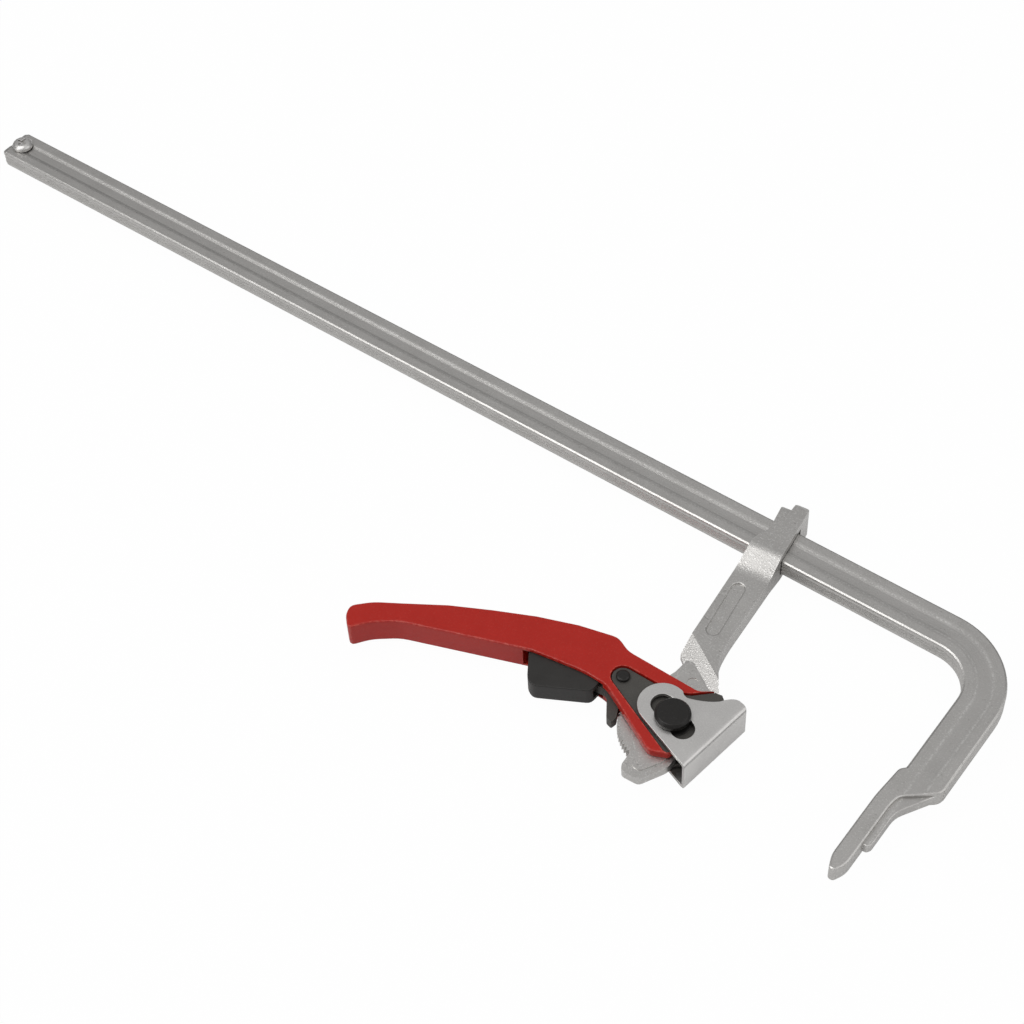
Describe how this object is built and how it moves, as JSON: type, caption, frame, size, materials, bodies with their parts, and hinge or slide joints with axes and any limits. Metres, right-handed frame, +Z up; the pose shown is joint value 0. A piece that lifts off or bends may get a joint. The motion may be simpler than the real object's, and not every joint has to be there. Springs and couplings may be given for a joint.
{
  "type": "lever f clamp",
  "caption": "F clamp with a bent steel rail, a sliding arm and a red ratchet lever that drives a pivoting pressure shoe through a cam.",
  "frame": {"origin": "middle of the fixed jaw's pressure face, at half the thickness of the rail", "axes": "+X along the rail toward the fixed jaw, +Y from the throat toward the spine of the rail, +Z up with the clamp lying on its side"},
  "size_m": [0.684, 0.1904, 0.0276],
  "materials": {
    "rail_with_fixed_jaw": "zinc plated drawn steel, satin",
    "end_stop_screw": "bright zinc plate",
    "sliding_arm": "zinc plated forging, satin grain",
    "pivot_pin": "black oxide",
    "pivot_pin_lower_cap": "black oxide",
    "pivot_washer_upper": "black oxide",
    "pivot_washer_lower": "black oxide",
    "cam_plate_upper": "dark phosphate",
    "cam_plate_lower": "dark phosphate",
    "handle": "red powder coat, satin",
    "cross_pin": "black oxide",
    "cross_pin_lower_cap": "black oxide",
    "pressure_shoe": "zinc plated stamping",
    "pawl": "dark phosphate",
    "trigger": "moulded black",
    "trigger_roll_pin": "plain",
    "trigger_return_spring": "spring wire"
  },
  "bodies": {
    "rail": {"rail_with_fixed_jaw": "rail_with_fixed_jaw", "end_stop_screw": "end_stop_screw"},
    "arm": {"sliding_arm": "sliding_arm"},
    "pivot": {"pivot_pin": "pivot_pin", "pivot_pin_lower_cap": "pivot_pin_lower_cap", "pivot_washer_upper": "pivot_washer_upper", "pivot_washer_lower": "pivot_washer_lower"},
    "shoe": {"pressure_shoe": "pressure_shoe"},
    "lever": {"handle": "handle", "cam_plate_upper": "cam_plate_upper", "cam_plate_lower": "cam_plate_lower", "cross_pin": "cross_pin", "cross_pin_lower_cap": "cross_pin_lower_cap", "trigger_return_spring": "trigger_return_spring"},
    "trigger_and_pawl": {"trigger": "trigger", "pawl": "pawl", "trigger_roll_pin": "trigger_roll_pin"}
  },
  "joints": [
    {"name": "arm_slide", "type": "slide", "parent": "rail", "child": "arm", "axis": [1, 0, 0], "range_m": [-0.519, 0.066]},
    {"name": "shoe_tilt", "type": "hinge", "parent": "arm", "child": "pivot", "pos_m": [-0.0978, -0.0005, 0], "axis": [0, 0, 1], "range_deg": [-5, 5]},
    {"name": "shoe_slide", "type": "slide", "parent": "pivot", "child": "shoe", "axis": [0.9259, -0.3778, 0], "range_m": [-0.00182, 0.00182]},
    {"name": "handle_swing", "type": "hinge", "parent": "arm", "child": "lever", "pos_m": [-0.0978, -0.0005, 0], "axis": [0, 0, 1], "range_deg": [-25, 25]},
    {"name": "trigger_press", "type": "hinge", "parent": "lever", "child": "trigger_and_pawl", "pos_m": [-0.1311, 0.0065, 0], "axis": [0, 0, 1], "range_deg": [-8, 0], "deforming": ["trigger_return_spring"]}
  ],
  "couplings": [
    {"joint": "shoe_slide", "follows": "handle_swing", "m_per_rad": -0.004126}
  ]
}
